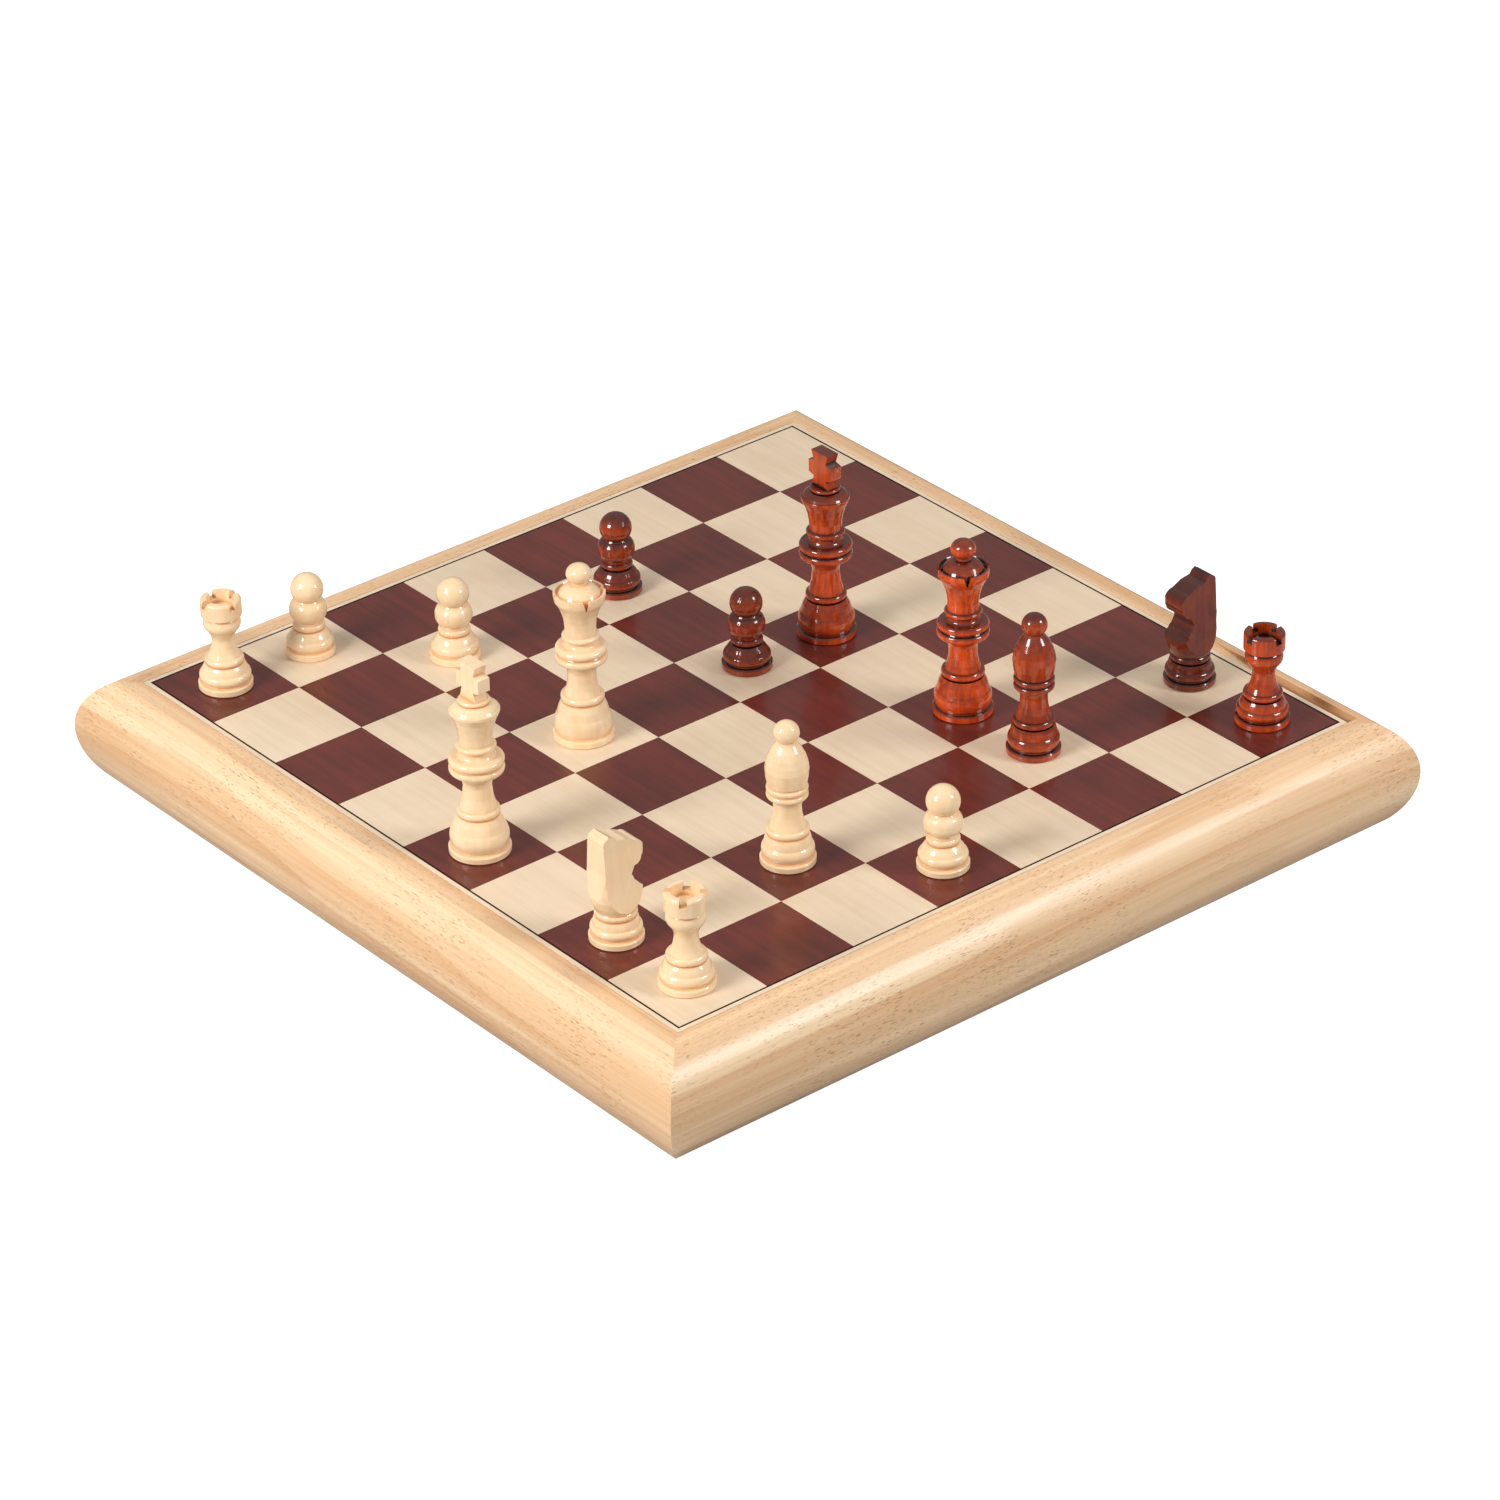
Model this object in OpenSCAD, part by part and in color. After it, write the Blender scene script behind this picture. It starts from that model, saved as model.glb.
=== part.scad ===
// Games compendium: a shallow square box of rounded hardwood rails. A reversible board lies flush
// in its top, chequered 8 x 8 for chess on one face and 10 x 10 for draughts on the other. Below
// it a moulded tray holds the chessmen on their sides and the draughtsmen in rows on edge.
// Millimetres. +Z is up, the origin is the middle of the face that the box rests on. The front
// rail is at -Y, the back rail at +Y, the left rail at -X and the right rail at +X.

/* [Board] */
// Side of one chess square
square_w = 40.5; // [34:0.5:46]
// Width of the black line round the squares
line_w = 0.8; // [0.5:0.1:2]
// Width of the plain border outside the line
border_w = 1.9; // [1:0.1:8]
// Thickness of the board with both its faces
board_t = 5.5; // [3.5:0.1:9]
// Thickness of each veneered face
veneer_t = 0.6; // [0.4:0.1:1.2]
// Seam between neighbouring veneer squares
seam_w = 0.08; // [0.04:0.02:0.3]
// Gap between the board's edge and the rails
board_gap = 0.3; // [0.2:0.1:1]

/* [Rails] */
// Width of a rail where it stands out furthest
rail_w = 20; // [16:0.5:28]
// Width of the flat on top of a rail
rail_flat = 7.3; // [5.5:0.1:10]
// Height of the line where a rail stands out furthest
bulge_z = 21; // [15:0.5:26]
// How far the rounded side draws in at its foot
foot_in = 8; // [3:0.5:10]
// Width of the ledge that the board lies on
ledge_w = 2.5; // [1.6:0.1:5]

/* [Finger notch] */
// Length of the notch along the back rail
notch_l = 80; // [40:1:120]
// Depth of the notch at the corner
notch_d = 7.5; // [5:0.5:10]
// How far the notch reaches into the rail
notch_w = 4.8; // [4.2:0.1:6]

/* [Base] */
// Height of the base panel above the table
base_up = 3.5; // [2:0.1:6]
// Thickness of the base panel
base_t = 3.2; // [2.4:0.1:6]
// Depth of the groove that holds the base panel
base_let = 4; // [2.5:0.5:6]
// Play of the base panel in its groove
base_play = 0.1; // [0.05:0.05:0.4]

/* [Tray] */
// Depth of the tray's face below the top of the rails
tray_drop = 11; // [9:0.5:16]
// Thickness of the moulded sheet
tray_t = 1.2; // [0.8:0.1:1.8]
// Gap between the tray's edge and the rails
tray_gap = 0.3; // [0.2:0.1:1]
// Distance between the columns of pockets
column_pitch = 38.6; // [35:0.2:40]
// Distance from the rails to the first pockets
edge_web = 9.5; // [4:0.5:12]
// Land between a long pocket and the pawn pocket behind it
pocket_web = 7; // [3:0.5:8]
// Room left round a chessman in its pocket
pocket_play = 3.4; // [1.5:0.1:5]
// How far a chessman's foot stands proud of the tray
proud = 1.6; // [0.5:0.1:4]
// Corner radius of a pocket
pocket_r = 5; // [3.5:0.5:7]
// Draft of the pocket walls in degrees
draft = 2; // [1:0.5:3]
// Clearance under a piece that lies in the tray
lay_gap = 0.15; // [0.05:0.05:0.4]

/* [Draughtsmen] */
// Diameter of a draughtsman
disc_d = 28.3; // [24:0.1:32]
// Thickness of a draughtsman
disc_t = 7; // [5:0.1:7.2]
// Rounding of a draughtsman's rim
disc_r = 1.4; // [0.6:0.1:2.2]
// Turned grooves on each face
disc_rings = 4; // [1:1:5]
// Depth of a turned groove
disc_ring_d = 0.5; // [0.3:0.05:0.7]
// Draughtsmen in each row at the left
row_long = 12; // [4:1:12]
// Draughtsmen in each row at the right
row_short = 10; // [4:1:12]
// Clearance between a draughtsman and the board above it
disc_gap = 0.3; // [0.2:0.1:1]
// Gap between draughtsmen in a row
disc_seam = 0.1; // [0.05:0.05:0.3]
// Room across a row of draughtsmen
row_play = 1.1; // [0.8:0.1:3]
// Room at the ends of a row of draughtsmen
row_end = 4; // [2.5:0.5:6]
// Land between the two rows of draughtsmen
row_web = 9.6; // [4:0.2:12]
// Distance from the rails to the rows of draughtsmen
row_edge = 17; // [10:0.5:19]

/* [Turning] */
// Largest turn between two facets of a turned curve in degrees
arc_step = 10; // [6:1:20]
// Height of the lip round every chessman's foot
lip_h = 2.9; // [2:0.1:3.4]
// Depth of the groove above the lip
groove_d = 0.8; // [0.3:0.1:1.2]
// Height of the small ring above the foot
ring_t = 2.4; // [1.4:0.1:3]
// How far the small ring is rounded
ring_b = 0.5; // [0.2:0.1:0.6]
// Swell of the foot between the lip and the ring
swell = 0.9; // [0.4:0.1:1.2]

/* [King] */
// Height with the cross
king_h = 80; // [76:0.5:82]
// Radius of the foot
king_r = 11.8; // [10.5:0.1:12.2]
// Height of the small ring
king_ring_z = 17.6; // [16.5:0.1:19]
// Radius of the small ring
king_ring_r = 8.2; // [7.4:0.1:9]
// Radius of the waist
king_waist_r = 5.4; // [4.4:0.1:6.2]
// Height of the waist
king_waist_z = 28.6; // [26:0.1:30]
// Height of the middle of the double collar
king_collar_z = 37.6; // [35.5:0.1:39]
// Radius of the double collar
king_collar_r = 10.5; // [9:0.1:11]
// Height of the ring under the crown
king_neck_z = 45.3; // [44.6:0.1:46.5]
// Radius of the ring under the crown
king_neck_r = 7.65; // [7.2:0.05:8.2]
// Height of the crown's rim
king_crown_z = 60.4; // [58:0.1:61.4]
// Radius of the crown's rim
king_crown_r = 9.5; // [8.6:0.1:10.5]
// Width of the cross over its arms
cross_w = 13; // [10:0.5:15]
// Thickness of the cross
cross_t = 5.4; // [3.5:0.1:6]
// Width left between the cross's notches
cross_neck = 7; // [3:0.2:7.6]

/* [Queen] */
// Height with the finial ball
queen_h = 74.5; // [73:0.5:77]
// Radius of the foot
queen_r = 11.8; // [10.5:0.1:12.2]
// Height of the small ring
queen_ring_z = 17.8; // [16.5:0.1:19]
// Radius of the small ring
queen_ring_r = 8.5; // [7.8:0.1:9.2]
// Radius of the waist
queen_waist_r = 5.6; // [4.6:0.1:6.2]
// Height of the waist
queen_waist_z = 27.5; // [25:0.1:29]
// Height of the collar
queen_collar_z = 36.8; // [35:0.1:38.5]
// Radius of the collar
queen_collar_r = 10.2; // [9:0.1:11]
// Height of the ring under the coronet
queen_neck_z = 43.9; // [43.2:0.1:46]
// Radius of the ring under the coronet
queen_neck_r = 7.3; // [6.8:0.1:8]
// Height of the coronet's rim
queen_crown_z = 62.8; // [61:0.1:64]
// Radius of the coronet's rim
queen_crown_r = 10; // [9.2:0.1:10.8]
// Notches sawn in the coronet
coronet_cuts = 4; // [3:1:8]
// Width of a notch at the rim
coronet_cut_w = 2.6; // [1.6:0.1:3.4]
// Depth of a notch below the rim
coronet_cut_h = 4.6; // [2.5:0.1:6]
// Radius of the finial
queen_ball_r = 4.9; // [4:0.1:5.4]
// Height of the finial
queen_ball_h = 8; // [7:0.1:8.6]

/* [Bishop] */
// Height with the finial ball
bishop_h = 59.5; // [57:0.5:61]
// Radius of the foot
bishop_r = 10.6; // [9.6:0.1:11.2]
// Height of the small ring
bishop_ring_z = 14; // [13:0.1:15]
// Radius of the small ring
bishop_ring_r = 8.2; // [7.2:0.1:8.8]
// Radius of the waist
bishop_waist_r = 5.3; // [4.4:0.1:6]
// Height of the waist
bishop_waist_z = 23.3; // [21:0.1:25]
// Height of the middle of the double collar
bishop_collar_z = 30.5; // [29:0.1:31.5]
// Radius of the double collar
bishop_collar_r = 7.9; // [7.2:0.1:8.6]
// Height at which the mitre is widest
mitre_z = 40; // [38.5:0.1:41]
// Largest radius of the mitre
mitre_r = 8.3; // [7.8:0.1:8.9]
// Radius of the finial
bishop_ball_r = 4.95; // [4:0.05:5.2]
// Height of the finial
bishop_ball_h = 9.4; // [8.4:0.1:9.8]

/* [Knight] */
// Height to the tip of the ears
knight_h = 46.5; // [44:0.5:49]
// Radius of the foot
knight_r = 10.3; // [9.5:0.1:10.8]
// Height of the small ring
knight_ring_z = 11.8; // [11:0.1:12.5]
// Radius of the small ring
knight_ring_r = 8; // [7.6:0.1:8.6]
// Radius of the breast and the back of the neck
knight_body_r = 9.9; // [9:0.1:10.4]
// Height of the breast
knight_body_z = 26; // [24:0.5:28]
// Thickness of the head at the ears
knight_t = 8.8; // [7:0.2:10]
// Height at which the flats run out
knight_flat_z = 13.1; // [13:0.1:16]
// Reach of the muzzle in front of the middle
muzzle_u = 9.6; // [8.4:0.1:10.2]

/* [Rook] */
// Height of the tower
rook_h = 39; // [37.5:0.5:41]
// Radius of the foot
rook_r = 10.7; // [9.6:0.1:11.2]
// Height of the small ring
rook_ring_z = 12.4; // [11.5:0.1:13.5]
// Radius of the small ring
rook_ring_r = 7.7; // [7:0.1:8.3]
// Radius of the waist
rook_waist_r = 4.5; // [4:0.1:5.4]
// Height of the waist
rook_waist_z = 19.8; // [18.5:0.1:21.5]
// Height of the ring under the battlements
rook_collar_z = 28.4; // [27.6:0.1:29]
// Radius of the ring under the battlements
rook_collar_r = 7.4; // [6.8:0.1:8]
// Height of the battlements
rook_wall_h = 7.1; // [6.4:0.1:7.6]
// Radius of the battlements
rook_top_r = 8; // [7.4:0.1:8.8]
// Radius of the hollow in the top
rook_bowl_r = 5.3; // [4.4:0.1:5.8]
// Depth of the hollow in the top
rook_bowl_d = 4.6; // [3.6:0.1:5.6]
// Depth of the cuts between the battlements
rook_cut_h = 3; // [2:0.1:4]
// Width of the cuts between the battlements
rook_cut_w = 2.8; // [1.8:0.1:3.4]

/* [Pawn] */
// Height with the head
pawn_h = 34.5; // [33.5:0.5:36]
// Radius of the foot
pawn_r = 10; // [9.2:0.1:10.6]
// Height of the small ring
pawn_ring_z = 12.4; // [11.6:0.1:12.8]
// Radius of the small ring
pawn_ring_r = 6.4; // [5.8:0.1:7]
// Radius of the neck
pawn_neck_r = 5.6; // [4.8:0.1:6]
// Height of the collar
pawn_collar_z = 19; // [18.4:0.1:19.6]
// Radius of the collar
pawn_collar_r = 7.4; // [6.8:0.1:8]
// Radius of the head
pawn_head_r = 6.5; // [5.8:0.05:7]
// Height of the head
pawn_head_h = 12.8; // [12:0.1:13.4]

/* [Hidden] */
$fn = 64;

// Board and box: the box is built round the board, and as high as what lies in it.
field = 8 * square_w;
board_w = field + 2 * (line_w + border_w);
opening = board_w + 2 * board_gap;
box_w = opening + 2 * rail_w;
base_top = base_up + base_t;
row_floor = base_top + tray_t;
box_h = row_floor + disc_d + disc_gap + board_t;
board_z = box_h - board_t;
inner = opening - 2 * ledge_w;

// Tray
tray_z = box_h - tray_drop;
tray_w = inner - 2 * tray_gap;
max_depth = tray_z - row_floor;
first = tray_w / 2 - edge_web;
row_w = disc_d + row_play;
row_y = (row_w + row_web) / 2;

// Back row from left to right, seen from the front: the same for both colours
ROOK = 0; KNIGHT = 1; BISHOP = 2; QUEEN = 3; KING = 4; PAWN = 5;
foot_r = [rook_r, knight_r, bishop_r, queen_r, king_r, pawn_r];
man_h = [rook_h, knight_h, bishop_h, queen_h, king_h, pawn_h];
dark_row = [ROOK, KNIGHT, BISHOP, QUEEN, KING, BISHOP, KNIGHT, ROOK];
light_row = [ROOK, KNIGHT, BISHOP, QUEEN, KING, BISHOP, KNIGHT, ROOK];
officer_w = 2 * max(king_r, queen_r) + pocket_play;
pawn_w = 2 * pawn_r + pocket_play;
pawn_l = pawn_h + pocket_play;
function column_x(i) = (i - 3.5) * column_pitch;
function inner_column(i) = i == 3 || i == 4;
function officer_l(i) = (inner_column(i) ? max(king_h, queen_h) : bishop_h) + pocket_play;
function depth(r) = min(2 * r - proud, max_depth);
function officer_depth(kind) = depth(foot_r[kind]);

// Colours
OAK = "#e3c598"; MAPLE = "#e9dcc0"; DARK = "#3d1f1c"; BLACK = "#141110"; FLOCK = "#9c1f26";
CORE = "#c9a877"; BOX = "#f0dfb4"; ROSE = "#7c2f16"; PLY = "#d5b98c";

// ---- Turning: every profile is a list of [height, radius, sagitta of the arc to the next point].

// Points of the arc from p to q, each a [height, radius]: it swells by s > 0 or hollows by s < 0
function arc_points(p, q, s) = let (
    c = norm(q - p), r = c * c / (8 * abs(s)) + abs(s) / 2,
    half = asin(min(1, c / (2 * r))), n = max(2, ceil(2 * half / arc_step)),
    u = (q - p) / c, v = sign(s) * [-u[1], u[0]], m = (p + q) / 2 - v * (r - abs(s)))
  [for (i = [0:n - 1]) let (t = -half + 2 * half * i / n) m + r * (u * sin(t) + v * cos(t))];

function outline(p) = [for (i = [0:len(p) - 2])
  let (a = [p[i][0], p[i][1]], b = [p[i + 1][0], p[i + 1][1]])
  each (p[i][2] == 0 ? [a] : arc_points(a, b, p[i][2]))];

module profile(p) {
  o = [for (q = outline(p)) [q[1], q[0]]];
  e = p[len(p) - 1];
  polygon(concat([[0, p[0][0]]], o, [[e[1], e[0]], [0, e[0]]]));
}

module lathe(p) { rotate_extrude() profile(p); }

// A rounded ring of outer radius r and thickness t, centred at height z
function bead(z, r, t, b) = [[z - t / 2, r - b, b], [z + t / 2, r - b, 0]];

// A flattened knob of radius r and height h, from its neck over its widest line to the top
function knob(top, r, h, neck) = let (from = -acos(neck / r), n = ceil((90 - from) / arc_step))
  concat([for (i = [0:n - 1]) let (t = from + (90 - from) * i / n)
    [top - h / 2 + h / 2 * sin(t), r * cos(t), 0]], [[top, 0.3, 0]]);

// Foot of every chessman: lip, groove, bell with its shoulder, and a small ring
function foot(r, rr, rz) = concat([[0, r - 0.5, 0], [0.5, r, 0], [lip_h - 0.5, r, 0],
  [lip_h, r - 0.5, 0], [lip_h + 0.3, r - 0.5 - groove_d, 0],
  [lip_h + 0.8, r - 0.5 - groove_d, swell], [rz * 0.6, r - 1.6, 0.2],
  [rz - ring_t / 2 - 0.5, rr - 0.2, 0], [rz - ring_t / 2 - 0.3, rr - 0.9, 0]],
  bead(rz, rr, ring_t, ring_b));
function ring_top(rz) = rz + ring_t / 2;

king_p = concat(foot(king_r, king_ring_r, king_ring_z),
  [[ring_top(king_ring_z) + 0.2, king_ring_r - 1.2, -0.35], [king_waist_z, king_waist_r, -0.3],
   [king_collar_z - 4, king_collar_r - 3.1, 0]],
  bead(king_collar_z - 1.75, king_collar_r, 3.2, 1.1),
  bead(king_collar_z + 1.75, king_collar_r, 3.2, 1.1),
  [[king_collar_z + 3.6, king_collar_r - 3, -0.5], [king_neck_z - 1.3, king_neck_r - 1.35, 0]],
  bead(king_neck_z, king_neck_r, 2.2, 0.9),
  [[king_neck_z + 1.3, king_neck_r - 1.25, -0.9], [king_crown_z - 0.7, king_crown_r, 0],
   [king_crown_z, king_crown_r, 0.25], [king_crown_z + 0.7, king_crown_r - 0.6, 0.45],
   [king_crown_z + 3.2, king_crown_r - 4.3, 0], [king_crown_z + 3.4, king_crown_r - 3.7, 0.4],
   [king_crown_z + 4.8, king_crown_r - 4.1, 0]]);

queen_p = concat(foot(queen_r, queen_ring_r, queen_ring_z),
  [[ring_top(queen_ring_z) + 0.2, queen_ring_r - 1.4, -0.5], [queen_waist_z, queen_waist_r, -0.5],
   [queen_collar_z - 4, queen_collar_r - 3, 0]],
  bead(queen_collar_z - 1.75, queen_collar_r, 3.2, 1.1),
  bead(queen_collar_z + 1.75, queen_collar_r - 0.2, 3.2, 1.1),
  [[queen_collar_z + 3.6, queen_collar_r - 3, -0.5], [queen_neck_z - 1.2, queen_neck_r - 1.2, 0]],
  bead(queen_neck_z, queen_neck_r, 2, 0.8),
  [[queen_neck_z + 1.2, queen_neck_r - 1.1, -1.3], [queen_crown_z - 3.4, queen_crown_r - 0.3, 0.15],
   [queen_crown_z, queen_crown_r, 0], [queen_crown_z, queen_crown_r - 0.8, 0],
   [queen_crown_z - 0.9, queen_crown_r - 1.4, 0], [queen_crown_z - 0.9, queen_crown_r - 1.8, 0.5],
   [queen_h - queen_ball_h - 0.6, queen_ball_r - 0.8, 0],
   [queen_h - queen_ball_h - 0.2, queen_ball_r - 1.8, 0]],
  knob(queen_h, queen_ball_r, queen_ball_h, queen_ball_r - 1.9));

bishop_p = concat(foot(bishop_r, bishop_ring_r, bishop_ring_z),
  [[ring_top(bishop_ring_z) + 0.2, bishop_ring_r - 1.2, -0.4], [bishop_waist_z, bishop_waist_r, -0.3],
   [bishop_collar_z - 2.9, bishop_collar_r - 1.7, 0]],
  bead(bishop_collar_z - 1.4, bishop_collar_r, 2.5, 0.8),
  bead(bishop_collar_z + 1.4, bishop_collar_r, 2.5, 0.8),
  [[bishop_collar_z + 2.9, bishop_collar_r - 0.9, 0],
   [bishop_collar_z + 3.3, bishop_collar_r - 0.4, 0.15], [mitre_z, mitre_r, 0.9],
   [bishop_h - bishop_ball_h + 0.3, bishop_ball_r - 0.85, 0]],
  knob(bishop_h, bishop_ball_r, bishop_ball_h, bishop_ball_r - 1.35));

rook_p = concat(foot(rook_r, rook_ring_r, rook_ring_z),
  [[ring_top(rook_ring_z) + 0.2, rook_ring_r - 1.2, -0.4], [rook_waist_z, rook_waist_r, -0.4],
   [rook_collar_z - 4.2, rook_collar_r - 2, -0.1]], bead(rook_collar_z, rook_collar_r, 5.4, 1),
  [[rook_collar_z + 2.9, rook_collar_r - 0.9, 0], [rook_collar_z + 3.2, rook_collar_r - 0.9, 0],
   [rook_h - rook_wall_h, rook_top_r, 0], [rook_h - 1.2, rook_top_r, 0.2],
   [rook_h, rook_top_r - 0.9, 0]]);

pawn_p = concat(foot(pawn_r, pawn_ring_r, pawn_ring_z),
  [[ring_top(pawn_ring_z) + 0.2, pawn_neck_r, 0], [pawn_collar_z - 4, pawn_neck_r, 0.5],
   [pawn_collar_z - 0.4, pawn_collar_r, 0], [pawn_collar_z + 0.4, pawn_collar_r, 0.6],
   [pawn_collar_z + 4.3, pawn_neck_r - 0.3, 0]],
  knob(pawn_h, pawn_head_r, pawn_head_h, pawn_neck_r - 0.7));

knight_p = concat(foot(knight_r, knight_ring_r, knight_ring_z),
  [[ring_top(knight_ring_z), knight_ring_r - 0.5, 1.1], [knight_body_z, knight_body_r, 0],
   [knight_h + 2, knight_body_r + 1.1, 0]]);

// Flared cross, standing on the crown
module cross() {
  z0 = king_crown_z + 4;
  h = king_h - z0;
  a = cross_w / 2; b = cross_w * 0.38; c = cross_neck / 2; e = h * 0.17; m = z0 + h * 0.52;
  rotate([90, 0, 0]) linear_extrude(cross_t, center = true)
    polygon([[-b, king_h], [-c, m + e * 1.3], [-a, m + e], [-a, m - e], [-c, m - e * 1.3],
      [-b, z0], [b, z0], [c, m - e * 1.3], [a, m - e], [a, m + e], [c, m + e * 1.3], [b, king_h]]);
}

module king() { lathe(king_p); cross(); }

// The coronet is sawn with narrow notches, each a V that opens at the rim
module queen() {
  w = coronet_cut_w / 2;
  difference() {
    lathe(queen_p);
    for (i = [0:coronet_cuts - 1]) rotate([0, 0, (i + 0.5) * 360 / coronet_cuts])
      translate([queen_crown_r - 2.2, 0, queen_crown_z]) rotate([90, 0, 90]) linear_extrude(6)
        polygon([[0, -coronet_cut_h], [2 * w, coronet_cut_h], [-2 * w, coronet_cut_h]]);
  }
}

module bishop() { lathe(bishop_p); }

module pawn() { lathe(pawn_p); }

module rook() {
  difference() {
    lathe(rook_p);
    translate([0, 0, rook_h - rook_bowl_d])
      cylinder(rook_bowl_d + 1, rook_bowl_r - 0.5, rook_bowl_r + 0.2);
    for (a = [0, 90]) rotate([0, 0, a])
      translate([-rook_top_r - 2, -rook_cut_w / 2, rook_h - rook_cut_h])
        cube([2 * rook_top_r + 4, rook_cut_w, rook_cut_h + 2]);
  }
}

// Horse's head in side view: u is forward, v is up
module horse() {
  top = knight_h;
  z0 = knight_ring_z;
  throat = top - 18.4;
  difference() {
    union() {
      polygon([[-knight_body_r + 1.3, z0], [-knight_body_r + 0.3, knight_body_z - 6],
        [-knight_body_r + 1.6, knight_body_z + 5], [-knight_body_r + 1.6, top - 4.2],
        [-knight_body_r + 2.7, top - 1.4], [-knight_body_r + 4.3, top], [-knight_body_r + 5.9, top - 1],
        [-knight_body_r + 6.8, top - 2.6], [muzzle_u - 8.2, top - 3.2], [muzzle_u - 3.4, top - 5.6],
        [muzzle_u - 4, top - 14], [muzzle_u - 6.2, throat], [muzzle_u - 2, knight_body_z - 4.4],
        [muzzle_u - 0.4, knight_body_z - 8], [muzzle_u - 1, z0]]);
      translate([muzzle_u - 4.1, top - 9.4]) circle(4.1);
      translate([muzzle_u - 4.3, top - 12.3]) circle(3);
      translate([muzzle_u - 5.2, knight_body_z - 7.6]) circle(5.2);
      translate([-knight_body_r + 3.8, top - 3]) circle(2.2);
    }
    // The throat
    translate([muzzle_u - 2, throat - 0.5]) circle(3.6);
  }
}

// The knight is turned first, then sawn to the head's outline and flatted on both sides
module knight() {
  s = knight_t / 2;
  cut = knight_flat_z;
  wide = 4 * knight_r;
  tall = 2 * knight_h;
  difference() {
    lathe(knight_p);
    difference() {
      translate([-wide / 2, -wide / 2, ring_top(knight_ring_z)]) cube([wide, wide, tall]);
      translate([0, wide / 2, 0]) rotate([90, 0, 0]) linear_extrude(wide) horse();
    }
    for (m = [0, 1]) mirror([0, m, 0]) rotate([90, 0, 90]) translate([0, 0, -wide / 2])
      linear_extrude(wide) polygon([[knight_ring_r + 0.3, cut], [s + 1.6, cut + 9], [s, knight_h],
        [s, tall], [wide, tall], [wide, cut]]);
  }
}

module man(kind) {
  if (kind == ROOK) rook();
  if (kind == KNIGHT) rotate([0, 0, 90]) knight();
  if (kind == BISHOP) bishop();
  if (kind == QUEEN) queen();
  if (kind == KING) king();
  if (kind == PAWN) pawn();
}

// ---- Lying in the tray: a chessman touches the floor at its foot and at one ring nearer the tip.
rest = [[rook_h - 1.2, rook_top_r], [knight_h - 2, knight_t / 2 + 0.3], [mitre_z, mitre_r],
  [queen_collar_z + 2, queen_collar_r], [king_collar_z + 2, king_collar_r],
  [pawn_collar_z + 1, pawn_collar_r]];
tip = [[rook_h - 1.2, rook_top_r], [knight_h - 2, knight_t / 2 + 0.3],
  [bishop_h - bishop_ball_h / 2, bishop_ball_r], [queen_crown_z, queen_crown_r],
  [king_crown_z, king_crown_r], [pawn_h - pawn_head_h / 2, pawn_head_r]];
function tilt(k) = atan((foot_r[k] - rest[k][1]) / (rest[k][0] - lip_h));
function low(k, q) = q[0] * sin(tilt(k)) + q[1] * cos(tilt(k));
function lie(k) = max([low(k, [lip_h, foot_r[k]]), low(k, rest[k]), low(k, tip[k]),
  low(k, [0.6 * man_h[k] * 0.24, foot_r[k] - 0.5])]);

// Foot towards the rail at -Y, tip towards the middle; the pocket's near end is at y
module laid(kind, x, y, floor_z, spin = 0) {
  t = tilt(kind);
  translate([x, y, floor_z + lay_gap + lie(kind)]) rotate([-90 - t, 0, 0]) rotate([0, 0, spin])
    man(kind);
}

officer_y = -first + pocket_play / 2;
function pawn_near(i) = -first + officer_l(i) + pocket_web;

module stored(kind, column) {
  if (kind == PAWN)
    laid(PAWN, column_x(column), pawn_near(column) + pocket_play / 2, tray_z - depth(pawn_r));
  else
    laid(kind, column_x(column), officer_y, tray_z - officer_depth(kind), kind == KNIGHT ? 90 : 0);
}

// ---- Tray

// Tapered pocket with rounded corners, its mouth at z = 0 and d deep
module tub(w, l, d, r) {
  s = d * tan(draft);
  translate([0, l / 2 - r, -d]) rotate([90, 0, 0]) linear_extrude(l - 2 * r)
    polygon([[s - w / 2, 0], [w / 2 - s, 0], [w / 2, d], [-w / 2, d]]);
  translate([r - w / 2, 0, -d]) rotate([90, 0, 90]) linear_extrude(w - 2 * r)
    polygon([[s - l / 2, 0], [l / 2 - s, 0], [l / 2, d], [-l / 2, d]]);
  for (x = [-1, 1], y = [-1, 1]) translate([x * (w / 2 - r), y * (l / 2 - r), -d])
    cylinder(d, r - s, r);
}

// One pocket: its outer wall and floor below the sheet when skin is true, else its hollow
module pocket(x, y, w, l, d, skin) {
  g = tray_t * (1 - tan(draft));
  over = 0.5;
  k = over * tan(draft);
  translate([x, y, tray_z]) {
    if (skin) translate([0, 0, -tray_t]) tub(w + 2 * g, l + 2 * g, d, pocket_r + g);
    else translate([0, 0, over]) tub(w + 2 * k, l + 2 * k, d + over, pocket_r + k);
  }
}

module half_pockets(row, skin) {
  for (i = [0:7]) {
    l = officer_l(i);
    pocket(column_x(i), -first + l / 2, officer_w, l, officer_depth(row[i]), skin);
    pocket(column_x(i), pawn_near(i) + pawn_l / 2, pawn_w, pawn_l, depth(pawn_r), skin);
  }
  pocket(long_x, -row_y, long_l, row_w, max_depth, skin);
  pocket(short_x, -row_y, short_l, row_w, max_depth, skin);
}

long_l = row_long * (disc_t + disc_seam) + row_end;
short_l = row_short * (disc_t + disc_seam) + row_end;
long_x = -tray_w / 2 + row_edge + long_l / 2;
short_x = tray_w / 2 - row_edge - short_l / 2;

module pockets(skin) {
  half_pockets(dark_row, skin);
  mirror([0, 1, 0]) half_pockets(light_row, skin);
}

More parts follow.
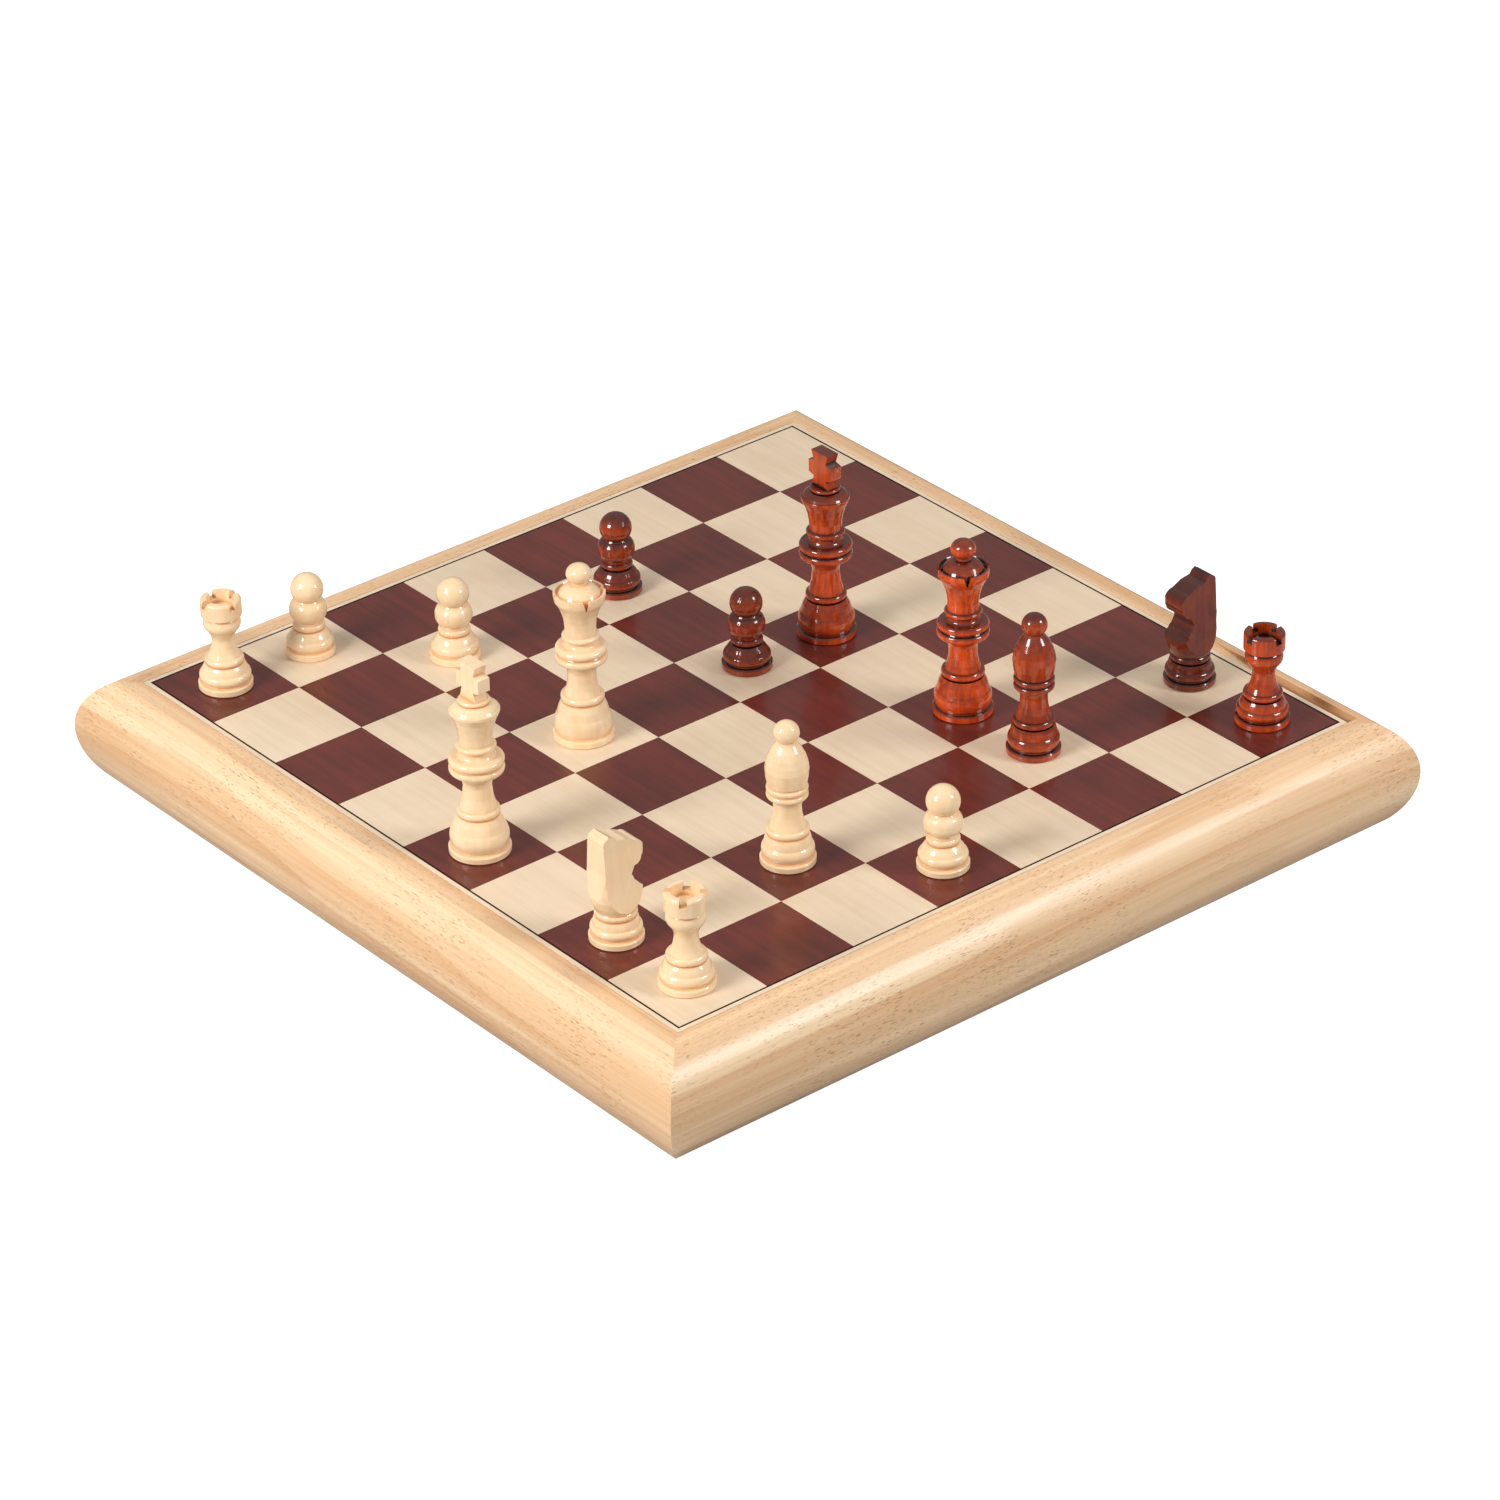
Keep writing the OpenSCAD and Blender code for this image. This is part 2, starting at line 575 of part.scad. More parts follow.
module storage_tray() {
  color(FLOCK) difference() {
    union() {
      translate([-tray_w / 2, -tray_w / 2, tray_z - tray_t]) cube([tray_w, tray_w, tray_t]);
      pockets(true);
    }
    pockets(false);
  }
}

// ---- Draughtsmen
// The section is drawn from one face to the other, with the turned grooves cut into both faces
module draughtsman() {
  flat = disc_d / 2 - disc_r;
  rotate_extrude() difference() {
    profile([[0, flat, 0.29 * disc_r], [disc_r, disc_d / 2, 0],
      [disc_t - disc_r, disc_d / 2, 0.29 * disc_r], [disc_t, flat, 0]]);
    for (i = [1:disc_rings], z = [0, disc_t])
      translate([flat * i / (disc_rings + 0.6), z]) rotate(45)
        square(disc_ring_d * sqrt(2), center = true);
  }
}

module disc_row(x, y, n) {
  p = disc_t + disc_seam;
  for (i = [0:n - 1])
    translate([x + (i - n / 2) * p + disc_seam / 2, y, row_floor + disc_gap / 4 + disc_d / 2])
      rotate([0, 90, 0]) draughtsman();
}

// ---- Rails

// Section of a rail: x runs outwards from the board's edge, y is the height
module rail_section() {
  side_w = rail_w - rail_flat;
  up = box_h - bulge_z;
  r1 = (side_w * side_w + up * up) / (2 * side_w);
  r2 = (foot_in * foot_in + bulge_z * bulge_z) / (2 * foot_in);
  difference() {
    union() {
      intersection() {
        translate([rail_w - r1, bulge_z]) circle(r1);
        translate([0, bulge_z]) square([rail_w + 5, up]);
      }
      intersection() {
        translate([rail_w - r2, bulge_z]) circle(r2);
        square([rail_w + 5, bulge_z]);
      }
      translate([-ledge_w, 0]) square([ledge_w + 1, board_z]);
    }
    // Groove of the base panel
    translate([-ledge_w - 1, base_up]) square([base_let + 1, base_t + base_play]);
  }
}

// Front rail with its mitred ends
module rail() {
  s = box_w / 2;
  m = rail_w + 2 * ledge_w;
  intersection() {
    translate([-s, -opening / 2, 0]) rotate([90, 0, 90]) linear_extrude(box_w)
      mirror([1, 0]) rail_section();
    translate([0, 0, -1]) linear_extrude(box_h + 2)
      polygon([[-s, -s], [s, -s], [s - m, m - s], [m - s, m - s]]);
  }
}

module rail_front() { color(OAK) rail(); }
module rail_right() { color(OAK) rotate([0, 0, 90]) rail(); }
module rail_left() { color(OAK) rotate([0, 0, -90]) rail(); }

// The back rail has the finger notch at its right end: it runs out to nothing along the rail
module rail_back() {
  o = opening / 2;
  color(OAK) difference() {
    rotate([0, 0, 180]) rail();
    translate([0, o + notch_w, 0]) rotate([90, 0, 0]) linear_extrude(notch_w + ledge_w + 1)
      polygon([[o - notch_l, box_h], [o - notch_l, box_h + 1], [o + 0.01, box_h + 1],
        [o + 0.01, box_h - notch_d]]);
  }
}

module base_panel() {
  w = inner + 2 * (base_let - base_play);
  color(PLY) translate([-w / 2, -w / 2, base_up]) cube([w, w, base_t]);
}

// ---- Board
module slab(w, z, t) { translate([-w / 2, -w / 2, z]) cube([w, w, t]); }

module frame(w_out, w_in, z, t) {
  difference() { slab(w_out, z, t); slab(w_in, z - 1, t + 2); }
}

// Every second square of an n x n field
module squares(n, parity, z) {
  s = field / n;
  for (i = [0:n - 1], j = [0:n - 1]) if ((i + j) % 2 == parity)
    translate([-field / 2 + i * s + seam_w / 2, -field / 2 + j * s + seam_w / 2, z])
      cube([s - seam_w, s - seam_w, veneer_t]);
}

upper = box_h - veneer_t;
module board_core() { color(CORE) slab(board_w, board_z + veneer_t, board_t - 2 * veneer_t); }
module chess_light_squares() { color(MAPLE) squares(8, 1, upper); }
module chess_dark_squares() { color(DARK) squares(8, 0, upper); }
module chess_line() { color(BLACK) frame(field + 2 * line_w, field, upper, veneer_t); }
module chess_border() { color(MAPLE) frame(board_w, field + 2 * line_w, upper, veneer_t); }
module draughts_light_squares() { color(MAPLE) squares(10, 1, board_z); }
module draughts_dark_squares() { color(DARK) squares(10, 0, board_z); }
module draughts_line() { color(BLACK) frame(field + 2 * line_w, field, board_z, veneer_t); }
module draughts_border() { color(MAPLE) frame(board_w, field + 2 * line_w, board_z, veneer_t); }

// ---- Chessmen on the board: file 0 to 7 from the left, rank 0 to 7 from the front
module stand(kind, file, rank, turn = 0) {
  translate([(file - 3.5) * square_w, (rank - 3.5) * square_w, box_h]) rotate([0, 0, turn]) man(kind);
}

module light_rook_a1() { color(BOX) stand(ROOK, 0, 0); }
module light_pawn_a2() { color(BOX) stand(PAWN, 0, 1); }
module light_pawn_b3() { color(BOX) stand(PAWN, 1, 2); }
module light_queen_d3() { color(BOX) stand(QUEEN, 3, 2, 23); }
module light_king_e1() { color(BOX) stand(KING, 4, 0); }
module light_bishop_g3() { color(BOX) stand(BISHOP, 6, 2); }
module light_pawn_h4() { color(BOX) stand(PAWN, 7, 3); }
module light_knight_g1() { color(BOX) stand(KNIGHT, 6, 0); }
module light_rook_h1() { color(BOX) stand(ROOK, 7, 0, 45); }
module dark_pawn_b5() { color(ROSE) stand(PAWN, 1, 4); }
module dark_pawn_d5() { color(ROSE) stand(PAWN, 3, 4); }
module dark_king_d6() { color(ROSE) stand(KING, 3, 5); }
module dark_queen_f6() { color(ROSE) stand(QUEEN, 5, 5, 13); }
module dark_bishop_g6() { color(ROSE) stand(BISHOP, 6, 5); }
module dark_knight_g8() { color(ROSE) stand(KNIGHT, 6, 7, 180); }
module dark_rook_h8() { color(ROSE) stand(ROOK, 7, 7); }

// ---- Chessmen put away: dark in the front half, light in the back half
module stored_dark_pawns() { color(ROSE) for (i = [0, 1, 2, 5, 6, 7]) stored(PAWN, i); }
module stored_dark_rook() { color(ROSE) stored(ROOK, 0); }
module stored_dark_knight() { color(ROSE) stored(KNIGHT, 1); }
module stored_dark_bishop() { color(ROSE) stored(BISHOP, 2); }
module stored_light_pawns() { color(BOX) mirror([0, 1, 0]) for (i = [0, 1, 5, 6, 7]) stored(PAWN, i); }
module stored_light_knight() { color(BOX) mirror([0, 1, 0]) stored(KNIGHT, 1); }
module stored_light_bishop() { color(BOX) mirror([0, 1, 0]) stored(BISHOP, 2); }

module light_discs_left() { color(BOX) disc_row(long_x, row_y, row_long); }
module light_discs_right() { color(BOX) disc_row(short_x, row_y, row_short); }
module dark_discs_left() { color(ROSE) disc_row(long_x, -row_y, row_long); }
module dark_discs_right() { color(ROSE) disc_row(short_x, -row_y, row_short); }

rail_front();
rail_right();
rail_back();
rail_left();
base_panel();
storage_tray();
stored_light_pawns();
stored_light_bishop();
stored_light_knight();
stored_dark_pawns();
stored_dark_rook();
stored_dark_knight();
stored_dark_bishop();
light_discs_left();
light_discs_right();
dark_discs_left();
dark_discs_right();
board_core();
chess_light_squares();
chess_dark_squares();
chess_line();
chess_border();
draughts_light_squares();
draughts_dark_squares();
draughts_line();
draughts_border();
light_rook_a1();
light_pawn_a2();
light_pawn_b3();
light_queen_d3();
light_king_e1();
light_bishop_g3();
light_pawn_h4();
light_knight_g1();
light_rook_h1();
dark_pawn_b5();
dark_pawn_d5();
dark_king_d6();
dark_queen_f6();
dark_bishop_g6();
dark_knight_g8();
dark_rook_h8();
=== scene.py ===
import math

import bmesh
import bpy
from bpy.props import FloatProperty, FloatVectorProperty, PointerProperty
from mathutils import Matrix, Vector

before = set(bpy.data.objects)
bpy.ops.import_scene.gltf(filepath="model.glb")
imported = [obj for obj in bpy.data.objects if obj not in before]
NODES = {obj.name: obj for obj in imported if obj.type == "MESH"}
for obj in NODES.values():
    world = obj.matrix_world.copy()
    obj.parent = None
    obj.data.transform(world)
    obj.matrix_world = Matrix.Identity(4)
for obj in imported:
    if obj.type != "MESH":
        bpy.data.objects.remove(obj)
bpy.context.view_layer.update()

bl_info = {
    "name": "Games Box",
    "version": (1, 0, 0),
    "blender": (4, 5, 0),
    "location": "View3D > Sidebar > Games Box",
    "description": "Dresses a wooden chess and draughts box, its men and its tray, and sets the studio",
    "category": "Object",
}

# Places are in metres. MM turns them into millimetres, in which most textures are laid out.
MM = 1000.0

# The field of squares is a whole number of millimetres wide, once the outer seams are counted in.
# A border is cut from one leaf of veneer, wider than the board.
FIELD = round(NODES["chess_light_squares"].dimensions.x, 3)
CHESS_SQUARE = FIELD / 8
DRAUGHTS_SQUARE = FIELD / 10
WHOLE_LEAF = 1.0

# Rails: width of a growth ring in millimetres, and the tints of its late wood and of its pores
RING_WIDTH = 8.5
LATE_WOOD = (0.78, 0.6, 0.45)
PORE = (0.4, 0.25, 0.13)

# The axis that each rail runs along, and how far its rings are shifted, in millimetres
RAILS = {
    "front": (0, (3.0, 240.0, 31.0)),
    "back": (0, (70.0, -151.0, 24.0)),
    "left": (1, (214.0, 40.0, 22.0)),
    "right": (1, (-163.0, 9.0, 38.0)),
}

# Turned wood: how near a wall has to be for a place to count as a hollow, or as a groove, where painted
# shade and stain darken it
HOLLOW_REACH = 0.006
GROOVE_REACH = 0.0016

# Tints of the light men's wood and grooves, the dark men's wood, and the colour of dark grooves. The groove
# colours stand for stain together with painted shade in the hollows; the dark one also gives the painted
# shade on upward faces.
LIGHT_BODY = (0.95, 0.86, 0.76)
LIGHT_GROOVE_AND_SHADE = (0.84, 0.58, 0.38)
DARK_BODY = (0.42, 0.3, 0.5)
DARK_GROOVE_AND_SHADE = (0.014, 0.0012, 0.0006)

# Strength of the stain on the dark men, and of the painted shade that darkens their upward faces. The last
# entry found in a node's name counts.
STAIN_AND_TOP_SHADE = {
    "dark_queen": (1.2, 0.74),
    "dark_rook": (1.0, 0.74),
    "dark_knight": (0.34, 0.74),
    "dark_king": (0.85, 0.74),
    "dark_bishop": (0.72, 0.74),
    "stored": (0.42, 0.15),
    "discs": (0.75, 0.0),
}
OTHER_STAIN_AND_TOP_SHADE = (0.6, 0.74)

# Studio: the point that the camera looks at, and the point that the softboxes face
VIEW_MIDDLE = Vector((0.030, -0.020, 0.0417))
LIT_MIDDLE = Vector((0.0, 0.0, 0.05))
SENSOR_WIDTH = 36.0
SOFTBOX_DISTANCE = 1.6
SOFTBOX_ELEVATION = math.radians(31)
LEFT_AZIMUTH, LEFT_SIZE = math.radians(-4), 0.55
RIGHT_AZIMUTH, RIGHT_SIZE = math.radians(124), 0.48
FLOOR_RADIUS = 6.0
FLOOR_DROP = 0.0004
FLOOR_GLOW = 0.9


# ---------------------------------------------------------------- shader arithmetic


class Field:
    """A number at each point of a surface. Arithmetic on it adds Math nodes."""

    def __init__(self, wiring, socket):
        self.wiring = wiring
        self.socket = socket

    def _math(self, operation, *values):
        return self.wiring.node("ShaderNodeMath", {"operation": operation}, dict(enumerate(values)))

    def __add__(self, other):
        return self._math("ADD", self, other)

    __radd__ = __add__

    def __mul__(self, other):
        return self._math("MULTIPLY", self, other)

    __rmul__ = __mul__

    def __sub__(self, other):
        return self._math("SUBTRACT", self, other)

    def __rsub__(self, other):
        return self._math("SUBTRACT", other, self)

    def __truediv__(self, other):
        return self._math("DIVIDE", self, other)

    def __rtruediv__(self, other):
        return self._math("DIVIDE", other, self)

    def floor(self):
        return self._math("FLOOR", self)

    def fraction(self):
        return self._math("FRACT", self)

    def between(self, low, high):
        """0 below low, 1 above high and smooth in between."""
        settings = {"interpolation_type": "SMOOTHSTEP"}
        values = {0: self, 1: low, 2: high, 3: 0.0, 4: 1.0}
        return self.wiring.node("ShaderNodeMapRange", settings, values)


class Wiring:
    """Adds nodes to one node tree and joins them up."""

    def __init__(self, tree):
        self.tree = tree

    def feed(self, socket, value):
        if isinstance(value, Field):
            self.tree.links.new(value.socket, socket)
        else:
            socket.default_value = value

    def node(self, kind, settings=None, values=None, out=0):
        """Any node, by its type, its settings, and the values or fields of its sockets."""
        made = self.tree.nodes.new(kind)
        for key, value in (settings or {}).items():
            setattr(made, key, value)
        for key, value in (values or {}).items():
            self.feed(made.inputs[key], value)
        return Field(self, made.outputs[out])

    def parts(self, vector):
        """The x, y and z of a vector."""
        split = self.tree.nodes.new("ShaderNodeSeparateXYZ")
        self.feed(split.inputs[0], vector)
        return [Field(self, part) for part in split.outputs]


class Paint(Wiring):
    """One procedural material, built node by node round a Principled shader."""

    def __init__(self, name, **constants):
        self.material = bpy.data.materials.new(name)
        self.material.use_nodes = True
        super().__init__(self.material.node_tree)
        self.tree.nodes.clear()
        self.shader = self.tree.nodes.new("ShaderNodeBsdfPrincipled")
        output = self.tree.nodes.new("ShaderNodeOutputMaterial")
        self.tree.links.new(self.shader.outputs[0], output.inputs[0])
        self.finish(**constants)

    def finish(self, **sockets):
        """Feeds the shader's sockets, named in lower case, and gives the material."""
        for key, value in sockets.items():
            socket = key.replace("_", " ").title().replace("Ior", "IOR")
            self.feed(self.shader.inputs[socket], value)
        return self.material

    def place(self):
        """The point in the piece's own space, in metres."""
        return self.node("ShaderNodeTexCoord", out="Object")

    def stretched(self, place, factors, shift=(0.0, 0.0, 0.0)):
        """place times factors, plus shift."""
        values = {0: place, 1: factors, 2: shift}
        return self.node("ShaderNodeVectorMath", {"operation": "MULTIPLY_ADD"}, values)

    def noise(self, place, scale=1.0, detail=3.0, rough=0.55, warp=0.0):
        values = {"Vector": place, "Scale": scale, "Detail": detail, "Roughness": rough, "Distortion": warp}
        return self.node("ShaderNodeTexNoise", {}, values)

    def blend(self, factor, first, second):
        """Mixes two colours."""
        first, second = [c if isinstance(c, Field) else (*c, 1.0) for c in (first, second)]
        settings = {"data_type": "RGBA", "clamp_factor": True}
        return self.node("ShaderNodeMix", settings, {0: factor, 6: first, 7: second}, out=2)

    def bump(self, height, strength, distance):
        values = {"Height": height, "Strength": strength, "Distance": distance}
        return self.node("ShaderNodeBump", {}, values)


# ---------------------------------------------------------------- finishes


def tinted(colour, factors):
    """A colour whose red, green and blue are each multiplied by a factor."""
    return tuple(min(1.0, c * f) for c, f in zip(colour, factors))


def shade(colour, factor):
    return tinted(colour, (factor,) * 3)


def rail_timber(name, colour, along, shift):
    """Clear-lacquered pale hardwood. Its growth rings lie round a pith beside and below the rail."""
    p = Paint(name, coat_weight=0.4, coat_roughness=0.2, specular_ior_level=0.35)
    place = p.place()

    def laid(across, lengthwise):
        """The place, multiplied by one factor across the rail and by another along it."""
        return p.stretched(place, tuple(lengthwise if axis == along else across for axis in range(3)), shift)

    grain = laid(MM, 16.0)
    bend = p.noise(laid(9.0, 3.5), detail=2.0)
    wander = p.noise(grain, scale=0.06, detail=2.0)
    radius = p.node("ShaderNodeVectorMath", {"operation": "LENGTH"}, {0: laid(MM, 0.0)}, out="Value")
    ring = (radius / RING_WIDTH + bend * 4.2 + wander * 2.6).fraction()
    late = ring.between(0.25, 0.93) * (1.0 - ring.between(0.93, 1.0))
    broad = p.noise(grain, scale=0.085, detail=2.0, rough=0.5, warp=0.5)
    streak = p.noise(grain, scale=0.8, detail=4.0, rough=0.62, warp=0.4)
    fine = p.noise(grain, scale=2.9, detail=2.0, rough=0.6)
    patch = p.noise(laid(22.0, 22.0), detail=2.0).between(0.34, 0.66)
    pores = p.noise(laid(MM, 120.0), scale=2.7, detail=1.0, rough=0.5).between(0.62, 0.68) * patch
    tone = broad.between(0.3, 0.68) * 0.5 + late * 0.22 + streak.between(0.34, 0.7) * 0.24 + fine * 0.12
    base = p.blend(tone, shade(colour, 1.08), tinted(colour, LATE_WOOD))
    base = p.blend(pores * 0.75, base, tinted(colour, PORE))
    rough = 0.36 + fine * 0.1 + pores * 0.25
    relief = fine * 0.3 + late * 0.2 - pores
    return p.finish(base_color=base, roughness=rough, normal=p.bump(relief, 0.22, 0.00012))


def veneer(name, colour, deep, square, gloss):
    """Sliced veneer under lacquer. Each square is cut from another place of the leaf."""
    p = Paint(name, coat_weight=gloss, coat_roughness=0.16, specular_ior_level=0.22)
    x, y, z = p.parts(p.place())
    column, row = [(part / square + 20.0).floor() for part in (x, y)]
    cell = p.node("ShaderNodeCombineXYZ", {}, {0: column, 1: row, 2: 0.5})
    pick = p.node("ShaderNodeTexWhiteNoise", {"noise_dimensions": "3D"}, {"Vector": cell}, out="Value")
    cut = p.node("ShaderNodeCombineXYZ", {}, {0: x + pick * 0.9, 1: y + pick * 1.7, 2: z})
    grain = p.stretched(cut, (45.0, MM, MM))
    streak = p.noise(grain, scale=0.32, detail=4.0, rough=0.6, warp=0.3)
    fine = p.noise(grain, scale=2.4, detail=2.0)
    cloud = p.noise(p.stretched(cut, (55.0,) * 3))
    tone = streak.between(0.3, 0.72) * 0.5 + fine * 0.2 + cloud.between(0.35, 0.7) * 0.25
    base = p.blend(tone + (pick - 0.5) * 0.22, colour, deep)
    relief = p.bump(fine + streak * 0.5, 0.12, 0.00006)
    return p.finish(base_color=base, roughness=0.3 + fine * 0.09, normal=relief)


def turned_wood(name, swell, body, groove, weight, gloss, top_shade=0.0):
    """Stained and lacquered turned wood: stain and painted shade darken the grooves and hollows, and painted
    shade darkens the faces that turn up.
    """
    p = Paint(name, coat_weight=gloss, coat_roughness=0.1, coat_ior=1.6, specular_ior_level=0.08)
    place = p.place()
    grain = p.stretched(place, (MM, MM, 110.0))
    streak = p.noise(grain, scale=0.34, detail=4.0, rough=0.62, warp=0.5)
    fine = p.noise(grain, scale=1.7, detail=2.0, rough=0.6)
    cloud = p.noise(p.stretched(place, (90.0,) * 3), detail=2.0)
    # Painted shade: ambient occlusion within the piece darkens its hollows and grooves, where shade falls
    # and stain gathers.
    settings = {"samples": 10, "only_local": True}
    hollow, thin = (
        p.node("ShaderNodeAmbientOcclusion", settings, {"Distance": reach}, out="AO")
        for reach in (HOLLOW_REACH, GROOVE_REACH)
    )
    sunk_stain_and_shade = (1.0 - hollow.between(0.35, 0.96)) * 0.7 + (1.0 - thin.between(0.55, 0.98)) * 0.8
    tone = streak.between(0.3, 0.7) * 0.5 + fine * 0.15 + cloud.between(0.35, 0.68) * 0.35
    base = p.blend(tone, swell, body)
    # Painted shade: faces that turn up are darkened towards the groove colour, as if they got less light
    # from above.
    if top_shade:
        up = p.parts(p.node("ShaderNodeNewGeometry", out="Normal"))[2]
        base = p.blend(up.between(0.05, 0.85) * top_shade, base, groove)
    base = p.blend(sunk_stain_and_shade * weight, base, groove)
    return p.finish(base_color=base, roughness=0.36 + fine * 0.12, normal=p.bump(fine, 0.08, 0.00008))


def flock(name, colour):
    """Short velvet flock on the moulded tray."""
    p = Paint(name, sheen_weight=0.12, sheen_roughness=0.45, specular_ior_level=0.06)
    place = p.stretched(p.place(), (MM,) * 3)
    fibre = p.noise(place, scale=3.6, detail=2.0, rough=0.7)
    nap = p.noise(place, scale=0.09, rough=0.6)
    tone = fibre.between(0.3, 0.7) * 0.5 + nap.between(0.35, 0.65) * 0.4
    base = p.blend(tone, shade(colour, 1.18), shade(colour, 0.62))
    return p.finish(base_color=base, roughness=0.92 + fibre * 0.06, normal=p.bump(fibre, 0.5, 0.0003))


def board_stuff(name, colour):
    """Pressed fibre board or plain ply: faint mottle, dull surface."""
    p = Paint(name, specular_ior_level=0.25)
    place = p.place()
    speck = p.noise(p.stretched(place, (MM,) * 3), scale=1.4, rough=0.7)
    ply = p.noise(p.stretched(place, (MM, MM, 30 * MM)), scale=0.05, detail=2.0)
    tone = speck.between(0.35, 0.65) * 0.5 + ply.between(0.4, 0.6) * 0.3
    base = p.blend(tone, shade(colour, 1.1), shade(colour, 0.72))
    return p.finish(base_color=base, roughness=0.66 + speck * 0.15, normal=p.bump(speck, 0.2, 0.00015))


def inlay(name, colour):
    """Dyed black stringing under the lacquer."""
    p = Paint(name, specular_ior_level=0.06)
    mottle = p.noise(p.stretched(p.place(), (MM,) * 3), scale=0.8, detail=2.0)
    base = p.blend(mottle, colour, shade(colour, 2.4))
    return p.finish(base_color=base, roughness=0.34 + mottle * 0.1)


def dress(node, material):
    """Gives a carried-over solid its finish, through the slots it already has."""
    obj = NODES[node]
    if not obj.material_slots:
        obj.data.materials.append(material)
    for slot in obj.material_slots:
        slot.material = material


# ---------------------------------------------------------------- properties


def colour(name, description, default):
    return FloatVectorProperty(
        name=name, description=description, subtype="COLOR", size=3, min=0.0, max=1.0, default=default
    )


def angle(name, description, degrees):
    return FloatProperty(name=name, description=description, subtype="ANGLE", default=math.radians(degrees))


def amount(name, description, default, **limits):
    return FloatProperty(name=name, description=description, default=default, **limits)


class GamesBoxFinish(bpy.types.PropertyGroup):
    rails: colour("Rails", "Lacquered pale hardwood of the four rails", (0.94, 0.68, 0.43))
    maple: colour("Maple", "Light squares and borders", (0.87, 0.695, 0.505))
    maple_deep: colour("Maple grain", "Grain of the light squares", (0.77, 0.59, 0.40))
    dark: colour("Dark squares", "Dark squares of both faces", (0.175, 0.027, 0.016))
    dark_deep: colour("Dark grain", "Grain of the dark squares", (0.085, 0.016, 0.012))
    line: colour("Line", "Black line round the squares", (0.004, 0.0028, 0.002))
    light_men: colour("Light men", "Light chessmen and draughtsmen", (0.99, 0.75, 0.48))
    dark_men: colour("Dark men", "Dark chessmen and draughtsmen", (0.66, 0.080, 0.008))
    flock: colour("Flock", "Velvet of the tray", (0.50, 0.005, 0.010))
    panel: colour("Panel", "Underside and the board's core", (0.50, 0.36, 0.22))


class GamesBoxStudio(bpy.types.PropertyGroup):
    azimuth: angle("View azimuth", "Where the camera stands, from the front rail", 50.87)
    elevation: angle("View elevation", "How far the camera looks down", 30.57)
    roll: angle("Roll", "How far the camera leans to its right", 1.04)
    distance: amount("Distance", "From the camera to the board", 2.35, unit="LENGTH", min=0.5)
    lens: amount("Lens", "Focal length in millimetres on a 36 mm frame", 148.3, min=20.0)
    left_power: amount("Left softbox", "Power of the softbox at the left, in watts", 19.0, min=0.0)
    right_power: amount("Right softbox", "Power of the softbox at the right, in watts", 11.5, min=0.0)
    overhead: amount("Overhead", "Strength of the even light from above", 0.48, min=0.0)
    horizon: amount("Horizon", "Strength of the even light from the sides", 0.2, min=0.0)


# ---------------------------------------------------------------- stage


def toward(azimuth, elevation):
    """The direction from the box to a light or to the camera."""
    level = math.cos(elevation)
    return Vector((math.sin(azimuth) * level, -math.cos(azimuth) * level, math.sin(elevation)))


def stand(name, data):
    """A new object in the scene."""
    obj = bpy.data.objects.new(name, data)
    bpy.context.scene.collection.objects.link(obj)
    return obj


